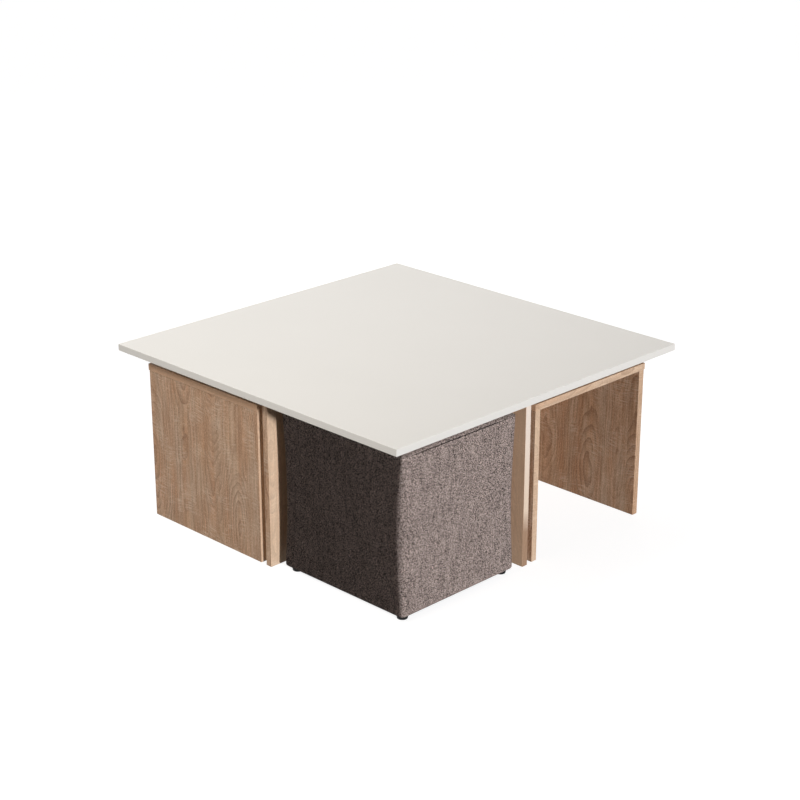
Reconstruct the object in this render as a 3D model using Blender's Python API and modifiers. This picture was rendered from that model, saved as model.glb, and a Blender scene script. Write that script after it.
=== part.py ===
"""Square coffee table with two side tables and two ottomans stored under it.

Metres, Z up. The origin is on the floor under the middle of the table, and X and Y run along
the edges of its top. The table stands on two boards that cross under the top and leave four
bays. A side table or an ottoman stands in each bay and pulls straight out of it.
"""

import math

import bmesh
import bpy
from mathutils import Matrix, Vector

# Coffee table
table_height = 0.425
top_size = 0.900
top_thickness = 0.016
top_overhang = 0.047
panel_thickness = 0.016

# Gaps and edges
seat_gap = 0.0003
lap_clearance = 0.0005
hole_clearance = 0.0003
board_edge_radius = 0.0008
cut_overrun = 0.002
merge_distance = 0.00001

# Cam fittings that hold the top on the panels
cam_radius_from_centre = 0.260
cam_diameter = 0.015
cam_thickness = 0.0124
cam_below_edge = 0.034
cam_edge_radius = 0.0005
cam_driver_width = 0.0022
cam_driver_length = 0.0085
cam_driver_depth = 0.0025
bolt_thread_diameter = 0.005
bolt_thread_length = 0.011
bolt_collar_diameter = 0.0075
bolt_collar_length = 0.0015
bolt_shaft_diameter = 0.006
bolt_neck_diameter = 0.0038
bolt_neck_length = 0.004
bolt_head_diameter = 0.0066
bolt_head_length = 0.003

# Side tables
side_table_headroom = 0.031
side_table_width = 0.380
side_table_depth = 0.378
side_board_thickness = 0.016
side_top_overhang = 0.0015
side_table_gap = 0.016

# Screws and caps that hold the side tables together
screw_spread = 0.240
screw_length = 0.050
screw_diameter = 0.007
screw_tip_diameter = 0.003
screw_tip_length = 0.004
screw_head_diameter = 0.010
screw_head_height = 0.004
screw_socket_width = 0.004
screw_socket_depth = 0.003
cap_diameter = 0.013
cap_thickness = 0.0012
cap_crown = 0.0005
cap_stem_diameter = 0.003
cap_stem_length = 0.0022

# Ottomans
ottoman_headroom = 0.019
ottoman_width = 0.350
ottoman_depth = 0.370
ottoman_gap_x = 0.033
ottoman_gap_y = 0.030
cover_thickness = 0.007
cover_corner_radius = 0.006
cover_corner_radius_middle = 0.0175
cover_corner_radius_inside = 0.002
cover_bottom_radius = 0.004
cover_fold_thickness = 0.003
cover_fold_width = 0.040
seam_depth = 0.0025
seam_depth_at_corners = 0.0006
seam_spread = 0.0015
seat_cap_height = 0.016
seat_crown = 0.007
seat_edge_radius = 0.008
seat_cover_thickness = 0.004
seat_draw_in = 0.0012
seat_board_thickness = 0.012
seat_foam_under_seam = 0.015
carcass_thickness = 0.012
carcass_edge_radius = 0.0015
base_board_thickness = 0.012

# Feet of the ottomans
foot_height = 0.012
foot_diameter = 0.027
foot_sole_diameter = 0.0235
foot_edge_radius = 0.0015
foot_inset = 0.0215
foot_nail_diameter = 0.004
foot_nail_length = 0.012
foot_nail_tip = 0.002

# Facets
hole_facets = 16
turned_facets = 20
fastener_facets = 12
corner_steps = 5
wall_steps = 8
crown_steps = 5
edge_steps = 3

# Points along each side of a cover, the outer two where the seam and the draw-in start
side_shares = (0.09, 0.36, 0.64, 0.91)

# Sizes that follow
top_underside = table_height - top_thickness
panel_length = top_size - 2 * top_overhang
panel_height = top_underside - seat_gap
panel_face = panel_thickness / 2
side_table_height = top_underside - side_table_headroom
ottoman_height = top_underside - ottoman_headroom

# Colours are written as display values from 0 to 1
finishes = {
    "white_melamine": ((0.89, 0.88, 0.86), 0.38, 0.0),
    "oak_decor": ((0.74, 0.62, 0.51), 0.55, 0.0),
    "raw_board": ((0.72, 0.60, 0.44), 0.85, 0.0),
    "zinc": ((0.66, 0.67, 0.68), 0.35, 1.0),
    "cap_plastic": ((0.72, 0.60, 0.48), 0.50, 0.0),
    "woven_fabric": ((0.50, 0.45, 0.43), 0.95, 0.0),
    "seat_foam": ((0.90, 0.86, 0.72), 1.00, 0.0),
    "black_plastic": ((0.03, 0.03, 0.03), 0.50, 0.0),
}


def clear_scene():
    for thing in list(bpy.data.objects):
        bpy.data.objects.remove(thing, do_unlink=True)


def new_collection(name):
    collection = bpy.data.collections.new(name)
    bpy.context.scene.collection.children.link(collection)
    return collection


def linear(value):
    """Display value to the linear value that a shader takes."""
    return value ** 2.2


def new_material(name, finish):
    colour, roughness, metallic = finishes[finish]
    material = bpy.data.materials.new(name)
    material.use_nodes = True
    shader = material.node_tree.nodes["Principled BSDF"]
    shader.inputs["Base Color"].default_value = (*[linear(part) for part in colour], 1)
    shader.inputs["Roughness"].default_value = roughness
    shader.inputs["Metallic"].default_value = metallic
    material.diffuse_color = (*[linear(part) for part in colour], 1)
    return material


def new_part(name, mesh, finish, parent, place=(0, 0, 0)):
    """One sub-part with its own material, placed in its parent's frame."""
    mesh.materials.append(new_material(name, finish))
    part = bpy.data.objects.new(name, mesh)
    parts_collection.objects.link(part)
    part.parent = parent
    part.location = place
    return part


def new_empty(name, place, turn):
    empty = bpy.data.objects.new(name, None)
    parts_collection.objects.link(empty)
    empty.location = place
    empty.rotation_euler = (0, 0, turn)
    return empty


def finish_mesh(bm, name, smooth=False):
    bmesh.ops.recalc_face_normals(bm, faces=bm.faces[:])
    mesh = bpy.data.meshes.new(name)
    bm.to_mesh(mesh)
    bm.free()
    if smooth:
        mesh.shade_smooth()
        mesh.set_sharp_from_angle(angle=math.radians(35))
    return mesh


def board(name, low, high, finish, parent, edge_radius=board_edge_radius, edge_segments=2):
    """A board between two corners, with its edges eased."""
    size = Vector(high) - Vector(low)
    middle = (Vector(high) + Vector(low)) / 2
    bm = bmesh.new()
    bmesh.ops.create_cube(bm, size=1, matrix=Matrix.Diagonal((*size, 1)))
    part = new_part(name, finish_mesh(bm, name), finish, parent, middle)
    easing = part.modifiers.new("eased edges", "BEVEL")
    easing.width = edge_radius
    easing.segments = edge_segments
    return part


def cut(part, bm, name, parent):
    """Subtracts a cutter, drawn in the parent's frame, from a part."""
    cutter = bpy.data.objects.new(name, finish_mesh(bm, name))
    cutters_collection.objects.link(cutter)
    cutter.parent = parent
    cutter.hide_render = True
    cutter.display_type = "WIRE"
    boolean = part.modifiers.new(name, "BOOLEAN")
    boolean.operation = "DIFFERENCE"
    boolean.solver = "EXACT"
    boolean.object = cutter


def add_hole(bm, mouth, into, diameter, depth, facets=hole_facets):
    """A drill's cylinder from just outside a hole's mouth to its bottom."""
    into = Vector(into).normalized()
    length = depth + cut_overrun
    middle = Vector(mouth) + into * (depth - cut_overrun) / 2
    turn = Vector((0, 0, 1)).rotation_difference(into).to_matrix().to_4x4()
    bmesh.ops.create_cone(
        bm,
        cap_ends=True,
        segments=facets,
        radius1=diameter / 2,
        radius2=diameter / 2,
        depth=length,
        matrix=Matrix.Translation(middle) @ turn,
    )


def add_block(bm, low, high):
    """A rectangular cutter between two corners."""
    size = Vector(high) - Vector(low)
    middle = (Vector(high) + Vector(low)) / 2
    place = Matrix.Translation(middle) @ Matrix.Diagonal((*size, 1))
    bmesh.ops.create_cube(bm, size=1, matrix=place)


def turned(name, profile, finish, parent, place, facets=turned_facets):
    """A turned piece from (radius, height) points that run down its outer side."""
    bm = bmesh.new()
    ring = [bm.verts.new((radius, 0, height)) for radius, height in profile]
    for upper, lower in zip(ring, ring[1:]):
        bm.edges.new((upper, lower))
    mesh = bpy.data.meshes.new(name)
    bm.to_mesh(mesh)
    bm.free()
    part = new_part(name, mesh, finish, parent, place)
    turning = part.modifiers.new("turning", "SCREW")
    turning.axis = "Z"
    turning.steps = facets
    turning.render_steps = facets
    turning.use_merge_vertices = True
    turning.merge_threshold = merge_distance
    turning.use_smooth_shade = True
    return part


def build_top(parent):
    half = top_size / 2
    top = board(
        "table_top",
        (-half, -half, top_underside),
        (half, half, table_height),
        "white_melamine",
        parent,
    )
    bores = bmesh.new()
    for across, along in cam_directions():
        mouth = Vector(across) * cam_radius_from_centre
        mouth.z = top_underside
        diameter = bolt_thread_diameter + 2 * hole_clearance
        add_hole(bores, mouth, (0, 0, 1), diameter, bolt_thread_length + hole_clearance)
    cut(top, bores, "top_bolt_bores", parent)


def cam_directions():
    """Way out along each arm of the cross, X and Y by turns, and the face that holds its cam."""
    return (
        ((1, 0, 0), (0, 1, 0)),
        ((0, 1, 0), (-1, 0, 0)),
        ((-1, 0, 0), (0, -1, 0)),
        ((0, -1, 0), (1, 0, 0)),
    )


def build_cross_base(parent):
    """Two panels on edge that cross in a halving joint."""
    reach = panel_length / 2
    panel_x = board(
        "cross_panel_x",
        (-reach, -panel_face, 0),
        (reach, panel_face, panel_height),
        "oak_decor",
        parent,
    )
    panel_y = board(
        "cross_panel_y",
        (-panel_face, -reach, 0),
        (panel_face, reach, panel_height),
        "oak_decor",
        parent,
    )
    slot_reach = panel_face + lap_clearance
    wall_reach = panel_face + cut_overrun
    half_height = panel_height / 2
    upper_slot = bmesh.new()
    low = (-slot_reach, -wall_reach, half_height - seat_gap / 2)
    add_block(upper_slot, low, (slot_reach, wall_reach, panel_height + cut_overrun))
    cut(panel_x, upper_slot, "lap_slot_from_above", parent)
    lower_slot = bmesh.new()
    high = (wall_reach, slot_reach, half_height + seat_gap / 2)
    add_block(lower_slot, (-wall_reach, -slot_reach, -cut_overrun), high)
    cut(panel_y, lower_slot, "lap_slot_from_below", parent)

    for panel, arms in ((panel_x, cam_directions()[0::2]), (panel_y, cam_directions()[1::2])):
        pockets = bmesh.new()
        bores = bmesh.new()
        for across, face in arms:
            add_cam_pocket(pockets, Vector(across), Vector(face))
            add_bolt_bore(bores, Vector(across))
        cut(panel, pockets, panel.name + "_cam_pockets", parent)
        cut(panel, bores, panel.name + "_bolt_bores", parent)


def add_cam_pocket(bm, across, face):
    """The cam's blind pocket in the panel's face."""
    mouth = across * cam_radius_from_centre + face * panel_face
    mouth.z = panel_height - cam_below_edge
    diameter = cam_diameter + 2 * hole_clearance
    add_hole(bm, mouth, -face, diameter, cam_thickness + hole_clearance, turned_facets)


def add_bolt_bore(bm, across):
    """The bolt's bore, down from the panel's top edge into the cam's pocket."""
    mouth = across * cam_radius_from_centre + Vector((0, 0, panel_height))
    diameter = bolt_collar_diameter + 2 * hole_clearance
    add_hole(bm, mouth, (0, 0, -1), diameter, cam_below_edge)


def build_cam_fittings(parent):
    names = ("east", "north", "west", "south")
    for name, (across, face) in zip(names, cam_directions()):
        across = Vector(across)
        face = Vector(face)
        build_bolt("table_bolt_" + name, across, parent)
        build_cam("table_cam_" + name, across, face, parent)


def build_bolt(name, across, parent):
    """Thread in the top, collar in the panel's edge, and a head that the cam hooks."""
    thread = bolt_thread_diameter / 2
    collar = bolt_collar_diameter / 2
    shaft = bolt_shaft_diameter / 2
    neck = bolt_neck_diameter / 2
    head = bolt_head_diameter / 2
    collar_top = -2 * seat_gap
    collar_bottom = collar_top - bolt_collar_length
    head_bottom = -cam_below_edge - bolt_head_length / 2
    head_top = head_bottom + bolt_head_length
    neck_top = head_top + bolt_neck_length
    profile = [
        (0, bolt_thread_length),
        (thread, bolt_thread_length - thread / 2),
        (thread, collar_top),
        (collar, collar_top),
        (collar, collar_bottom),
        (shaft, collar_bottom),
        (shaft, neck_top),
        (neck, neck_top),
        (neck, head_top),
        (head, head_top),
        (head, head_bottom),
        (0, head_bottom),
    ]
    place = across * cam_radius_from_centre + Vector((0, 0, top_underside))
    turned(name, profile, "zinc", parent, place, fastener_facets)


def build_cam(name, across, face, parent):
    """A flat drum with a channel for the bolt's head and a slot for the driver."""
    bm = bmesh.new()
    turn = Vector((0, 0, 1)).rotation_difference(face).to_matrix().to_4x4()
    bmesh.ops.create_cone(
        bm,
        cap_ends=True,
        segments=turned_facets,
        radius1=cam_diameter / 2,
        radius2=cam_diameter / 2,
        depth=cam_thickness,
        matrix=turn,
    )
    centre = across * cam_radius_from_centre + face * (panel_face - cam_thickness / 2)
    centre.z = panel_height - cam_below_edge
    cam = new_part(name, finish_mesh(bm, name, smooth=True), "zinc", parent, centre)
    easing = cam.modifiers.new("eased edges", "BEVEL")
    easing.width = cam_edge_radius
    easing.segments = 1

    channel = bmesh.new()
    mouth = across * cam_radius_from_centre
    mouth.z = centre.z + cam_diameter / 2
    channel_width = bolt_head_diameter + 2 * hole_clearance
    channel_depth = cam_diameter / 2 + bolt_head_length / 2 + 2 * seat_gap + hole_clearance
    add_hole(channel, mouth, (0, 0, -1), channel_width, channel_depth)
    cut(cam, channel, name + "_channel", parent)

    driver = bmesh.new()
    outside = across * cam_radius_from_centre + face * panel_face
    outside.z = centre.z
    half_width = Vector((1, 1, 1)) * cam_driver_width / 2
    along = Vector([abs(part) for part in across]) * cam_driver_length / 2
    inward = face * cam_driver_depth
    across_faces = Vector([1 - abs(part) for part in face])
    reach = Vector([max(a, b) for a, b in zip(along, half_width)])
    reach = Vector([size * keep for size, keep in zip(reach, across_faces)])
    ends = (outside - inward, outside + face * cut_overrun)
    low = Vector([min(a, b) for a, b in zip(*ends)]) - reach
    high = Vector([max(a, b) for a, b in zip(*ends)]) + reach
    add_block(driver, low, high)
    cut(cam, driver, name + "_driver_slot", parent)


def build_side_table(name, parent):
    """A board on two legs. The legs stand across X and the space between is open along Y."""
    half_x = side_table_width / 2
    half_y = side_table_depth / 2
    leg_x = half_x - side_top_overhang
    leg_y = half_y - side_top_overhang
    board_underside = side_table_height - side_board_thickness
    leg_height = board_underside - seat_gap
    top = board(
        name + "_top",
        (-half_x, -half_y, board_underside),
        (half_x, half_y, side_table_height),
        "oak_decor",
        parent,
    )
    top_bores = bmesh.new()
    top_sinks = bmesh.new()
    for leg_name, side in (("outer", 1), ("inner", -1)):
        faces = sorted((side * leg_x, side * (leg_x - side_board_thickness)))
        leg = board(
            name + "_leg_" + leg_name,
            (faces[0], -leg_y, 0),
            (faces[1], leg_y, leg_height),
            "oak_decor",
            parent,
        )
        leg_bores = bmesh.new()
        middle_x = side * (leg_x - side_board_thickness / 2)
        for end_name, end in (("a", 1), ("b", -1)):
            spot = Vector((middle_x, end * screw_spread / 2, side_table_height))
            label = leg_name + "_" + end_name
            add_screw_bores(top_bores, leg_bores, spot, leg_height)
            add_screw_sink(top_sinks, spot)
            build_screw(name + "_screw_" + label, spot, parent)
            build_cap(name + "_cap_" + label, spot, parent)
        cut(leg, leg_bores, leg.name + "_bores", parent)
    cut(top, top_bores, top.name + "_bores", parent)
    cut(top, top_sinks, top.name + "_sinks", parent)


def add_screw_bores(top_bores, leg_bores, spot, leg_height):
    """A bore through the board and a blind bore in the leg."""
    diameter = screw_diameter + 2 * hole_clearance
    add_hole(top_bores, spot, (0, 0, -1), diameter, side_board_thickness + cut_overrun)
    mouth = Vector((spot.x, spot.y, leg_height))
    in_leg = screw_length - side_board_thickness
    add_hole(leg_bores, mouth, (0, 0, -1), diameter, in_leg + hole_clearance)


def add_screw_sink(bm, spot):
    """The flared mouth that the screw's head lies in."""
    diameter = screw_diameter + 2 * hole_clearance
    head = screw_head_diameter + 2 * hole_clearance
    sink = screw_head_height + hole_clearance
    middle = spot + Vector((0, 0, (cut_overrun - sink) / 2))
    flare = (head - diameter) / 2 * (1 + cut_overrun / sink)
    bmesh.ops.create_cone(
        bm,
        cap_ends=True,
        segments=hole_facets,
        radius1=diameter / 2,
        radius2=diameter / 2 + flare,
        depth=sink + cut_overrun,
        matrix=Matrix.Translation(middle),
    )


def build_screw(name, spot, parent):
    """A connecting screw whose countersunk head has a hexagonal socket."""
    shank = screw_diameter / 2
    profile = [
        (0, 0),
        (screw_head_diameter / 2, 0),
        (shank, -screw_head_height),
        (shank, screw_tip_length - screw_length),
        (screw_tip_diameter / 2, -screw_length),
        (0, -screw_length),
    ]
    screw = turned(name, profile, "zinc", parent, spot, fastener_facets)
    socket = bmesh.new()
    across_corners = screw_socket_width / math.cos(math.pi / 6)
    add_hole(socket, spot, (0, 0, -1), across_corners, screw_socket_depth, facets=6)
    cut(screw, socket, name + "_socket", parent)


def build_cap(name, spot, parent):
    """A thin crowned disc on the board, held by a stem in the screw's socket."""
    rim = cap_diameter / 2
    stem = cap_stem_diameter / 2
    profile = [
        (0, seat_gap + cap_thickness),
        (rim - cap_crown, seat_gap + cap_thickness),
        (rim, seat_gap + cap_thickness - cap_crown),
        (rim, seat_gap),
        (stem, seat_gap),
        (stem, -cap_stem_length),
        (0, -cap_stem_length),
    ]
    turned(name, profile, "cap_plastic", parent, spot, fastener_facets)


def ring(half_x, half_y, inset, radius, height, bow=0):
    """A rounded rectangle, whose sides are drawn in between the corners."""
    reach_x = half_x - inset - radius
    reach_y = half_y - inset - radius
    corners = ((1, 1), (-1, 1), (-1, -1), (1, -1))
    points = []
    for quarter, (sign_x, sign_y) in enumerate(corners):
        centre = Vector((sign_x * reach_x, sign_y * reach_y, height))
        for step in range(corner_steps + 1):
            angle = math.pi / 2 * (quarter + step / corner_steps)
            points.append(centre + Vector((math.cos(angle), math.sin(angle), 0)) * radius)
        start = points[-1].copy()
        next_x, next_y = corners[(quarter + 1) % 4]
        angle = math.pi / 2 * (quarter + 1)
        outwards = Vector((math.cos(angle), math.sin(angle), 0))
        end = Vector((next_x * reach_x, next_y * reach_y, height)) + outwards * radius
        for share in side_shares:
            points.append(start.lerp(end, share) - outwards * bow)
    return points


def loft(rings, closed):
    """Faces between rings of equal count: a closed tube, or a form capped at both ends."""
    bm = bmesh.new()
    rows = [[bm.verts.new(point) for point in points] for points in rings]
    pairs = list(zip(rows, rows[1:]))
    if closed:
        pairs.append((rows[-1], rows[0]))
    count = len(rows[0])
    for lower, upper in pairs:
        for index in range(count):
            following = (index + 1) % count
            bm.faces.new((lower[index], lower[following], upper[following], upper[index]))
    if not closed:
        bm.faces.new(reversed(rows[0]))
        bm.faces.new(rows[-1])
    return bm


def corner_radius(share):
    """The cover's corners are tight at its bottom and top and rounder halfway up."""
    swell = math.sin(math.pi * share)
    return cover_corner_radius + (cover_corner_radius_middle - cover_corner_radius) * swell


def seam_height():
    return ottoman_height - seat_cap_height


def side_cover_rings():
    """The fabric's outside from its fold to the seam, then back down its inside."""
    half_x = ottoman_width / 2
    half_y = ottoman_depth / 2
    bottom = foot_height
    top = seam_height() - seat_gap / 2
    inner = cover_corner_radius_inside
    fold_top = bottom + cover_fold_thickness
    rings = [ring(half_x, half_y, cover_fold_width, inner, bottom)]
    for step in range(edge_steps + 1):
        angle = math.pi / 2 * step / edge_steps
        inset = cover_bottom_radius * (1 - math.sin(angle))
        height = bottom + cover_bottom_radius * (1 - math.cos(angle))
        rings.append(ring(half_x, half_y, inset, cover_corner_radius, height))
    wall_low = bottom + cover_bottom_radius
    wall_high = top - seam_depth - seam_spread
    for step in range(1, wall_steps + 1):
        share = step / wall_steps
        height = wall_low + (wall_high - wall_low) * share
        rings.append(ring(half_x, half_y, 0, corner_radius(share), height))
    shallow = seam_depth_at_corners
    groove = seam_depth - shallow
    low = top - seam_spread
    rings.append(ring(half_x, half_y, shallow / 3, cover_corner_radius, low, groove / 3))
    rings.append(ring(half_x, half_y, shallow, cover_corner_radius, top, groove))
    rings.append(ring(half_x, half_y, cover_thickness, inner, top))
    rings.append(ring(half_x, half_y, cover_thickness, inner, fold_top))
    rings.append(ring(half_x, half_y, cover_fold_width, inner, fold_top))
    return rings


def crown_height(inset):
    """Rise of the seat above its shoulder, which is full in the middle."""
    run = min(ottoman_width, ottoman_depth) / 2 - seat_edge_radius
    share = min(1, max(0, (inset - seat_edge_radius) / run))
    return seat_crown * math.sin(math.pi / 2 * share)


def seat_outer_rings():
    """The seat's outside from the seam, round its edge and up over the crown."""
    half_x = ottoman_width / 2
    half_y = ottoman_depth / 2
    low = seam_height() + seat_gap / 2
    shoulder = ottoman_height - seat_crown
    radius = cover_corner_radius
    shallow = seam_depth_at_corners
    groove = seam_depth - shallow
    rings = [
        ring(half_x, half_y, shallow, radius, low, groove),
        ring(half_x, half_y, shallow / 3, radius, low + seam_spread / 2, groove / 2),
    ]
    rise = shoulder - low - seam_spread
    for step in range(edge_steps + 1):
        angle = math.pi / 2 * step / edge_steps
        inset = seat_edge_radius * (1 - math.cos(angle))
        height = low + seam_spread + rise * math.sin(angle)
        fade = seat_draw_in * (1 - step / edge_steps)
        rings.append(ring(half_x, half_y, inset, radius + inset / 2, height, fade))
    for inset in crown_insets():
        height = shoulder + crown_height(inset)
        rings.append(ring(half_x, half_y, inset, radius + seat_edge_radius, height))
    return rings


def crown_insets():
    """Distances in from the seat's edge at which its crown is drawn."""
    run = min(ottoman_width, ottoman_depth) / 2 - 2 * seat_edge_radius
    last = run - cover_corner_radius
    shares = [step / crown_steps for step in range(1, crown_steps + 1)]
    return [seat_edge_radius + last * share for share in shares]


def seat_inner_rings(thickness, inset_below, low):
    """An inside of the seat at a given depth under its crown, from the middle outwards."""
    half_x = ottoman_width / 2
    half_y = ottoman_depth / 2
    shoulder = ottoman_height - seat_crown - thickness
    inside = cover_corner_radius_inside
    rings = []
    for inset in reversed(crown_insets()):
        height = shoulder + crown_height(inset)
        rings.append(ring(half_x, half_y, inset, inside + seat_edge_radius, height))
    rings.append(ring(half_x, half_y, inset_below + seat_edge_radius / 2, inside, shoulder))
    rings.append(ring(half_x, half_y, inset_below, inside, shoulder - seat_edge_radius / 4))
    rings.append(ring(half_x, half_y, inset_below, inside, low))
    return rings


def build_seat_cover(name, parent):
    """A thin crowned cap of fabric, open below at its seam."""
    outer = seat_outer_rings()
    low = seam_height() + seat_gap / 2
    inner = seat_inner_rings(seat_cover_thickness, cover_thickness, low)
    bm = bmesh.new()
    rows = [[bm.verts.new(point) for point in points] for points in outer + inner]
    count = len(rows[0])
    break_at = len(outer) - 1
    for row in range(len(rows)):
        if row == break_at:
            continue
        lower = rows[row]
        upper = rows[(row + 1) % len(rows)]
        for index in range(count):
            following = (index + 1) % count
            bm.faces.new((lower[index], lower[following], upper[following], upper[index]))
    bm.faces.new(rows[break_at])
    bm.faces.new(reversed(rows[break_at + 1]))
    new_part(name, finish_mesh(bm, name, smooth=True), "woven_fabric", parent)


def build_seat_foam(name, parent):
    """The seat's foam, which fills the cap and reaches down to the seat board."""
    bottom = seam_height() - seat_foam_under_seam
    thickness = seat_cover_thickness + seat_gap
    rings = seat_inner_rings(thickness, cover_thickness + seat_gap, bottom)
    bm = loft(list(reversed(rings)), closed=False)
    new_part(name, finish_mesh(bm, name, smooth=True), "seat_foam", parent)


def foot_places():
    reach_x = ottoman_width / 2 - foot_inset
    reach_y = ottoman_depth / 2 - foot_inset
    return (
        ("a", Vector((reach_x, reach_y, 0))),
        ("b", Vector((-reach_x, reach_y, 0))),
        ("c", Vector((-reach_x, -reach_y, 0))),
        ("d", Vector((reach_x, -reach_y, 0))),
    )


def build_foot(name, place, parent):
    """A glide with a tapered, rounded foot and a nail on top."""
    rim = foot_diameter / 2
    sole = foot_sole_diameter / 2
    nail = foot_nail_diameter / 2
    top = foot_height - seat_gap
    profile = [
        (0, top + foot_nail_length),
        (nail, top + foot_nail_length - foot_nail_tip),
        (nail, top),
        (rim - foot_edge_radius, top),
        (rim, top - foot_edge_radius),
        (sole, foot_edge_radius),
        (sole - foot_edge_radius, 0),
        (0, 0),
    ]
    turned(name, profile, "black_plastic", parent, place)


def build_carcass(name, parent):
    """Four boards on edge on the base board, under the seat board."""
    inset = cover_thickness + seat_gap
    x = ottoman_width / 2 - inset
    y = ottoman_depth / 2 - inset
    base_low = foot_height + cover_fold_thickness + seat_gap
    base_high = base_low + base_board_thickness
    seat_high = seam_height() - seat_foam_under_seam - seat_gap
    seat_low = seat_high - seat_board_thickness
    wall_low = base_high + seat_gap
    wall_high = seat_low - seat_gap
    x_in = x - carcass_thickness
    y_in = y - carcass_thickness
    side_y = y_in - seat_gap
    boards = (
        ("base_board", (-x, -y, base_low), (x, y, base_high)),
        ("seat_board", (-x, -y, seat_low), (x, y, seat_high)),
        ("front_board", (-x, -y, wall_low), (x, -y_in, wall_high)),
        ("back_board", (-x, y_in, wall_low), (x, y, wall_high)),
        ("left_board", (-x, -side_y, wall_low), (-x_in, side_y, wall_high)),
        ("right_board", (x_in, -side_y, wall_low), (x, side_y, wall_high)),
    )
    made = {}
    for label, low, high in boards:
        full_name = name + "_" + label
        made[label] = board(full_name, low, high, "raw_board", parent, carcass_edge_radius, 1)
    return made["base_board"]


def build_ottoman(name, parent):
    bm = loft(side_cover_rings(), closed=True)
    mesh = finish_mesh(bm, name + "_side_cover", smooth=True)
    side_cover = new_part(name + "_side_cover", mesh, "woven_fabric", parent)
    build_seat_cover(name + "_seat_cover", parent)
    build_seat_foam(name + "_seat_foam", parent)
    base_board = build_carcass(name, parent)
    diameter = foot_nail_diameter + 2 * hole_clearance
    for part in (side_cover, base_board):
        bores = bmesh.new()
        for label, place in foot_places():
            mouth = place + Vector((0, 0, foot_height))
            add_hole(bores, mouth, (0, 0, 1), diameter, foot_nail_length + hole_clearance)
        cut(part, bores, part.name + "_nail_bores", parent)
    for label, place in foot_places():
        build_foot(name + "_foot_" + label, place, parent)


clear_scene()
parts_collection = new_collection("coffee_table_with_ottomans")
cutters_collection = new_collection("cutters")

table = new_empty("table", (0, 0, 0), 0)
build_top(table)
build_cross_base(table)
build_cam_fittings(table)

table_x = panel_face + side_table_gap + side_table_width / 2
table_y = panel_face + side_table_gap + side_table_depth / 2
ottoman_x = panel_face + ottoman_gap_x + ottoman_width / 2
ottoman_y = panel_face + ottoman_gap_y + ottoman_depth / 2
build_side_table("side_table_right", new_empty("right_bay", (table_x, -table_y, 0), 0))
build_side_table("side_table_left", new_empty("left_bay", (-table_x, table_y, 0), math.pi))
build_ottoman("ottoman_front", new_empty("front_bay", (-ottoman_x, -ottoman_y, 0), 0))
build_ottoman("ottoman_back", new_empty("back_bay", (ottoman_x, ottoman_y, 0), math.pi))
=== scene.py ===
"""Looks for a square coffee table with two side tables and two ottomans stored under it."""

import math

import bmesh
import bpy
import numpy as np
from mathutils import Matrix, Vector


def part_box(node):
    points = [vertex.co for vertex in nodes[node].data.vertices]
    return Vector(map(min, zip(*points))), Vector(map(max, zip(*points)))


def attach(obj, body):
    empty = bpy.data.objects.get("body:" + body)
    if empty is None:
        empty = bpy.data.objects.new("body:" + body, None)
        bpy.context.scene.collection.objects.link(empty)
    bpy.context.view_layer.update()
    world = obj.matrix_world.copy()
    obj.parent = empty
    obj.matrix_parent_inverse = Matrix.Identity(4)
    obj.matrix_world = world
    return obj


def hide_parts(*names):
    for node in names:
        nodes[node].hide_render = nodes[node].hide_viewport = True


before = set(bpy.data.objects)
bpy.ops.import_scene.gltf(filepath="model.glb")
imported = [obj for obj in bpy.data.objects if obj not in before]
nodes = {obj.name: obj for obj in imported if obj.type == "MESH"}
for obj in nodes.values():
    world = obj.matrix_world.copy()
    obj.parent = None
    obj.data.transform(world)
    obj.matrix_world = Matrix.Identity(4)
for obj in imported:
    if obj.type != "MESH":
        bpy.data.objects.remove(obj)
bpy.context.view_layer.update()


def put(name, data):
    """A new object in the scene."""
    thing = bpy.data.objects.new(name, data)
    bpy.context.scene.collection.objects.link(thing)
    return thing


# Camera, at the photograph's angle

camera_place = (-2.9196, -2.9253, 1.8639)
camera_turn = (math.radians(68.103), 0, math.radians(-45.047))
camera_lens = 86.1
camera_sensor = 36
camera_shift = 0.0425


def build_camera():
    data = bpy.data.cameras.new("camera")
    data.lens = camera_lens
    data.sensor_width = camera_sensor
    data.shift_y = camera_shift
    camera = put("camera", data)
    camera.location = camera_place
    camera.rotation_euler = camera_turn
    bpy.context.scene.camera = camera


# Light. The cloth has a key and a fill of its own, and the boards have theirs.

white = (1, 1, 1)
sun_elevation = math.radians(16.5)
sun_angle = math.radians(5)
sun_distance = 4
suns = {
    "key": {"from_front": math.radians(18), "strength": 3.0, "colour": (0.99, 1.0, 1.03)},
    "cloth key": {"from_front": math.radians(-10), "strength": 3.3, "colour": white},
}
softboxes = {
    "overhead softbox": {"place": (-0.1, 0.8, 2.8), "size": 1.2, "power": 29.5, "colour": white},
    "side softbox": {
        "place": (-1.8, -0.1, 1.25),
        "size": 1.0,
        "power": 9.1,
        "colour": (1.0, 0.94, 0.85),
    },
    "back softbox": {"place": (3.6, 2.4, 0.7), "size": 2.2, "power": 34, "colour": white},
    "cloth fill": {
        "place": (-1.1, -2.4, 0.6),
        "size": 0.8,
        "power": 13,
        "colour": (1.0, 0.93, 0.92),
    },
    "rear softbox": {"place": (0.5, 3.9, 0.8), "size": 2.0, "power": 42, "colour": white},
}
never_mirrored = ("key", "overhead softbox", "back softbox", "rear softbox")
for_cloth_only = ("cloth key", "cloth fill")
for_all_but_cloth = ("key", "side softbox")
lamp_target = (0, 0, 0.2)
sky_strength = 0.06
sky_colour = (1.0, 0.80, 0.65, 1)


def aimed(name, data, place):
    """A lamp that looks at the middle of the set."""
    lamp = put(name, data)
    lamp.location = place
    toward = Vector(lamp_target) - Vector(place)
    lamp.rotation_euler = toward.to_track_quat("-Z", "Y").to_euler()
    return lamp


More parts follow.
